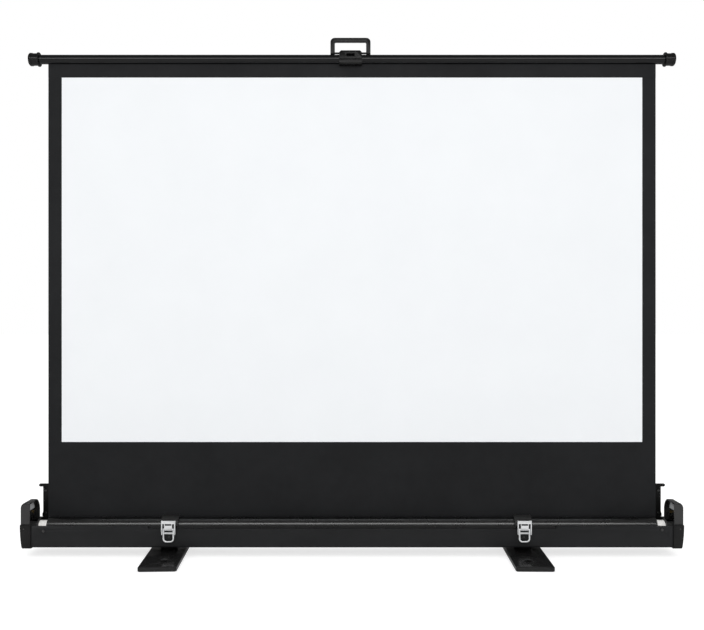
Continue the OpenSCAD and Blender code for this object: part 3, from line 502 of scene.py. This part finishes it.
edges = {
    # node: width of the rounded edge in metres, 0 for none
    "case_shell": 0.0006, "case_screws": 0.0003, "end_cap_left": 0.0022, "end_cap_right": 0.0022,
    "cap_screws": 0.0002, "end_ear_left": 0.0022, "end_ear_right": 0.0022, "ear_screws": 0.0003,
    "roller_bracket_left": 0.0005, "roller_bracket_right": 0.0005,
    "handle_saddle": 0.0008, "handle_bail": 0.0026, "handle_pin": 0.0004,
    "arm_head_block": 0.0008, "head_pins": 0.0004, "head_washers": 0, "arm_base_block": 0.0008,
    "base_pins": 0.0004, "base_washers": 0, "lower_arm_left": 0.0006, "lower_arm_right": 0.0006,
    "upper_arm_left": 0.0006, "upper_arm_right": 0.0006, "elbow_pin_left": 0.0004, "elbow_pin_right": 0.0004,
    "elbow_washer_left": 0, "elbow_washer_right": 0, "bar_guide_left": 0.0004, "bar_guide_right": 0.0004,
    "guide_rivets": 0.0003, "latch_base_left": 0.0003, "latch_base_right": 0.0003,
    "latch_lever_left": 0.0006, "latch_lever_right": 0.0006, "latch_loop_left": 0, "latch_loop_right": 0,
    "latch_pins": 0.0002, "latch_rivets": 0.0002, "foot_left": 0.0020, "foot_right": 0.0020,
    "foot_rubber_left": 0.0003, "foot_rubber_right": 0.0003, "foot_spacers": 0.0008, "foot_bolts": 0.0003,
}
for nodeName, edge in edges.items():
    kind = "wideSegments" if edge > shapingLook["wideEdge"] else "narrowSegments"
    dressNode(nodeName, edge, shapingLook[kind])
print("packed shapes dressed:", len(edges))

# Top bar, turned and drawn from its outline

barLook = {
    "wall": 0.00175,
    "slot": 0.0009,             # half the slot that the cloth goes in by
    "tubeSteps": 88, "tubeSmooth": 30,
    "spigot": 0.020, "spigotFit": 0.0001, "innerRim": 0.005,
    "groove": 0.016, "grooveRadius": 0.018, "grooveEdges": (0.0006, 0.0004),
    "outerRadius": 0.01925, "outerEdge": 0.0006, "edge": 0.0014,
    "disc": [(0.002, 0.002), (0.0006, 0.0023), (0, 0.0032)],    # in from the end, in from the outer radius
    "dimple": [(0, 0.007), (0.0012, 0.0064), (0.0012, 0)],      # in from the end, radius
    "endSteps": 72, "endSmooth": 32,
}


def makeBarTube(look, box):
    half, y, z = box[1][0], middle(box, 1), middle(box, 2)
    outer = (box[1][2] - box[0][2]) / 2
    inner = outer - look["wall"]
    gap = math.asin(look["slot"] / outer)       # the slot is at the bottom
    steps = look["tubeSteps"]
    turn = [gap + (2 * math.pi - 2 * gap) * i / steps for i in range(steps + 1)]
    ring = [(-half, y - outer * math.sin(a), z - outer * math.cos(a)) for a in turn]
    ring += [(-half, y - inner * math.sin(a), z - inner * math.cos(a)) for a in reversed(turn)]
    piece = drawOutPiece("barTubePiece", ring, (2 * half, 0, 0))
    finishPiece(piece, "top_bar", "bar_black", look["tubeSmooth"], ["bar_tube"])


def roundedStep(at, radius, edge, rising):      # one rounded side of a rim
    turn = [math.radians(degrees) for degrees in (0, 30, 60, 90)]
    sign = -1 if rising else 1
    points = [(at + sign * edge * (math.cos(a) - 1), radius + edge * (math.sin(a) - 1)) for a in turn]
    return points if rising else points[::-1]


def makeBarEnd(look, side, tubeBox):
    nodeName = "bar_end_" + sideName[side]
    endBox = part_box(nodeName)
    rim = (endBox[1][2] - endBox[0][2]) / 2
    bore = (tubeBox[1][2] - tubeBox[0][2]) / 2 - look["wall"] - look["spigotFit"]
    start, end = tubeBox[1][0], reach(endBox)
    grooveIn = start + look["innerRim"]
    grooveOut = grooveIn + look["groove"]
    discIn = end - look["disc"][0][0]
    low, outer, edge = look["grooveRadius"], look["outerRadius"], look["edge"]
    soft, step = look["grooveEdges"]
    profile = [(start - look["spigot"], 0), (start - look["spigot"], bore), (start, bore)]
    profile += roundedStep(start, rim, edge, True)
    profile += roundedStep(grooveIn, rim, edge, False)
    profile += [(grooveIn, low + soft), (grooveIn + soft, low)]
    profile += [(grooveOut - soft, low), (grooveOut, low + step)]
    profile += roundedStep(grooveOut, outer, look["outerEdge"], True)
    profile += roundedStep(discIn, outer, edge, False)
    profile += [(end - back, outer - drop) for back, drop in look["disc"]]
    profile += [(end - back, radius) for back, radius in look["dimple"]]
    piece = spinPiece(pieceName(nodeName), mirrored(profile, side), middle(tubeBox, 1), middle(tubeBox, 2),
                      look["endSteps"])
    finishPiece(piece, "top_bar", "bar_end_black", look["endSmooth"], [nodeName])


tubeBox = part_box("bar_tube")
makeBarTube(barLook, tubeBox)
for side in (-1, 1):
    makeBarEnd(barLook, side, tubeBox)
print("top bar made")

# Rolled cloth

rollLook = {
    "core": 0.0287,                             # radius at which the turns drawn at the ends stop
    "layerInsets": (0, 0.0004, 0.0008, 0),      # each turn of cloth ends a little further in or out
    "layerGap": 0.00004,
    "swell": 0.0004, "unevenness": 0.00012, "unevenTurns": 17,
    "rings": 90, "around": 96, "smooth": 30,
}


def makeRoll(look, box):
    half, radius, rings = box[1][0], (box[1][2] - box[0][2]) / 2, look["rings"]
    skin = []
    for i in range(rings + 1):
        t = -1 + 2 * i / rings
        swell = (look["swell"] + look["unevenness"] * math.sin(look["unevenTurns"] * t)) * (1 - t * t)
        skin.append((half * t, radius + swell))
    step, gap = (radius - look["core"]) / len(look["layerInsets"]), look["layerGap"]
    ending = []
    for layer, inset in enumerate(look["layerInsets"]):
        outer = radius - layer * step
        ending += [(half - inset, outer - gap), (half - inset, outer - step + gap)]
    profile = mirrored(ending, -1)[::-1] + skin + ending
    piece = spinPiece("fabricRollPiece", profile, middle(box, 1), middle(box, 2), look["around"])
    return finishPiece(piece, "roller", "screen_black", look["smooth"], ["fabric_roll"], look="roll_black")


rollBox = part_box("fabric_roll")
roll = makeRoll(rollLook, rollBox)

# The roller's white plugs

plugLook = {
    "radius": 0.020, "edge": 0.0012, "bore": 0.0061, "boreEdge": 0.0005,
    "spigot": 0.026, "spigotRadius": 0.02695,
    "shoulder": 0.0015, "shoulderLength": 0.0012, "clear": 0.0002,
    "lineAt": 0.0088, "lineWidth": 0.0011, "lineDepth": 0.0006,
    "around": 72, "smooth": 32,
}


def makePlug(look, side, rollBox):
    nodeName = "roller_plug_" + sideName[side]
    start, end = rollBox[1][0], reach(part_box(nodeName))
    top, edge, bore, wide = look["radius"], look["edge"], look["bore"], look["spigotRadius"]
    near, seat, line = start - look["spigot"], start - look["clear"], end - look["lineAt"]
    width, groove = look["lineWidth"], top - look["lineDepth"]
    halfRound = 0.3 * edge      # half way along the rounded edge
    profile = [
        (near, bore), (near, wide), (seat, wide), (seat, top + look["shoulder"]),
        (start + look["shoulderLength"], top),
        (line - width / 2, top), (line - width / 4, groove),
        (line + width / 4, groove), (line + width / 2, top),
        (end - edge, top), (end - halfRound, top - halfRound), (end, top - edge),
        (end, bore + look["boreEdge"]), (end - look["boreEdge"], bore), (near, bore),
    ]
    piece = spinPiece(pieceName(nodeName), mirrored(profile, side), middle(rollBox, 1), middle(rollBox, 2),
                      look["around"])
    finishPiece(piece, "roller", "plug_white", look["smooth"], [nodeName])


for side in (-1, 1):
    makePlug(plugLook, side, rollBox)
print("roll and plugs made")

# Screen cloth with its white viewing surface

clothLook = {
    "thick": 0.0003, "imageThick": 0.0002, "borderThick": 0.0002,
    "imageGap": 0.0003,         # keeps the waves of the two sheets apart
    "borderGap": 0.0003,        # between the top border and the white surface below it
    "borderStep": 0.00002,      # how much further forward the border lies
    "tuck": 0.0015,             # from the border's upper edge to the cloth's
    "waveSize": 0.42, "waveDetail": 2, "waveDepth": 0.0004,
    "cuts": (110, 84), "borderCuts": (110, 4), "smooth": 60,
}


def liftTravel():               # how far the bar comes down when the arms fold
    joint = {item["name"]: item for item in frame["record"]["behaviour"]["joints"]}
    base, elbow = joint["lift"]["pos_m"], joint["elbow_left"]["pos_m"]
    across, up = abs(elbow[0] - base[0]), elbow[2] - base[2]
    angle, fold = math.atan2(up, across), math.radians(joint["lift"]["range_deg"][1])
    return 2 * math.hypot(across, up) * (math.sin(angle) - math.sin(angle - fold))


def makeSheet(name, low, high, back, thick, wave, cuts):
    # low and high are corners (x, z), back is where its rear side lies in y
    deselectAll()
    bpy.ops.mesh.primitive_grid_add(x_subdivisions=cuts[0], y_subdivisions=cuts[1], size=1,
                                    location=((low[0] + high[0]) / 2, back - thick, (low[1] + high[1]) / 2),
                                    rotation=(math.radians(90), 0, 0))
    piece = bpy.context.object
    piece.name = name
    piece.scale = (high[0] - low[0], high[1] - low[1], 1)
    bpy.ops.object.transform_apply(location=True, rotation=True, scale=True)
    if wave:
        shapeWith(piece, "DISPLACE", texture=clothWaves, texture_coords="LOCAL", direction="Y",
                  strength=wave, mid_level=0.5)
    shapeWith(piece, "SOLIDIFY", thickness=thick, offset=-1)
    return piece


def makeCloth(look, clothBox, imageBox):
    half, low, top, back = clothBox[1][0], clothBox[0][2], clothBox[1][2], clothBox[1][1]
    imageHalf, imageLow, imageTop = imageBox[1][0], imageBox[0][2], imageBox[1][2]
    travel, wave, cuts, smooth = liftTravel(), look["waveDepth"], look["cuts"], look["smooth"]
    cloth = makeSheet("screenClothPiece", (-half, low), (half, top), back, look["thick"], wave, cuts)
    finishPiece(cloth, "case", "screen_black", smooth, ["screen_fabric"])
    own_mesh(cloth)

    front = back - look["thick"] - look["imageGap"]
    image = makeSheet("viewingSurfacePiece", (-imageHalf, imageLow), (imageHalf, imageTop), front,
                      look["imageThick"], wave, cuts)
    finishPiece(image, "case", "screen_white", smooth, ["image_surface"])
    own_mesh(image)

    borderLow, borderTop = imageTop + look["borderGap"], top - look["tuck"]
    border = makeSheet("topBorderPiece", (-half, borderLow), (half, borderTop), front - look["borderStep"],
                       look["borderThick"], 0, look["borderCuts"])
    finishPiece(border, "top_bar", "screen_black", smooth)


clothWaves = bpy.data.textures.new("clothWaves", "CLOUDS")
clothWaves.noise_scale = clothLook["waveSize"]
clothWaves.noise_depth = clothLook["waveDetail"]
makeCloth(clothLook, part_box("screen_fabric"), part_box("image_surface"))
print("screen cloth made")

# Felt pads in the ears

feltLook = {"edge": 0.0008, "segments": 3}

felt = dressNode("ear_pads", feltLook["edge"], feltLook["segments"])
print("felt pads made")

# Nodes inside the case and the bar, which stay as they are

for nodeName in ("roller_tube", "spring_plug", "spring_shaft", "roller_spring", "idle_pin", "hem_rod"):
    piece = nodes[nodeName]
    piece.data.materials.clear()
    piece.data.materials.append(looks[slotOf[nodeName]])
print("inner nodes given their finishes")
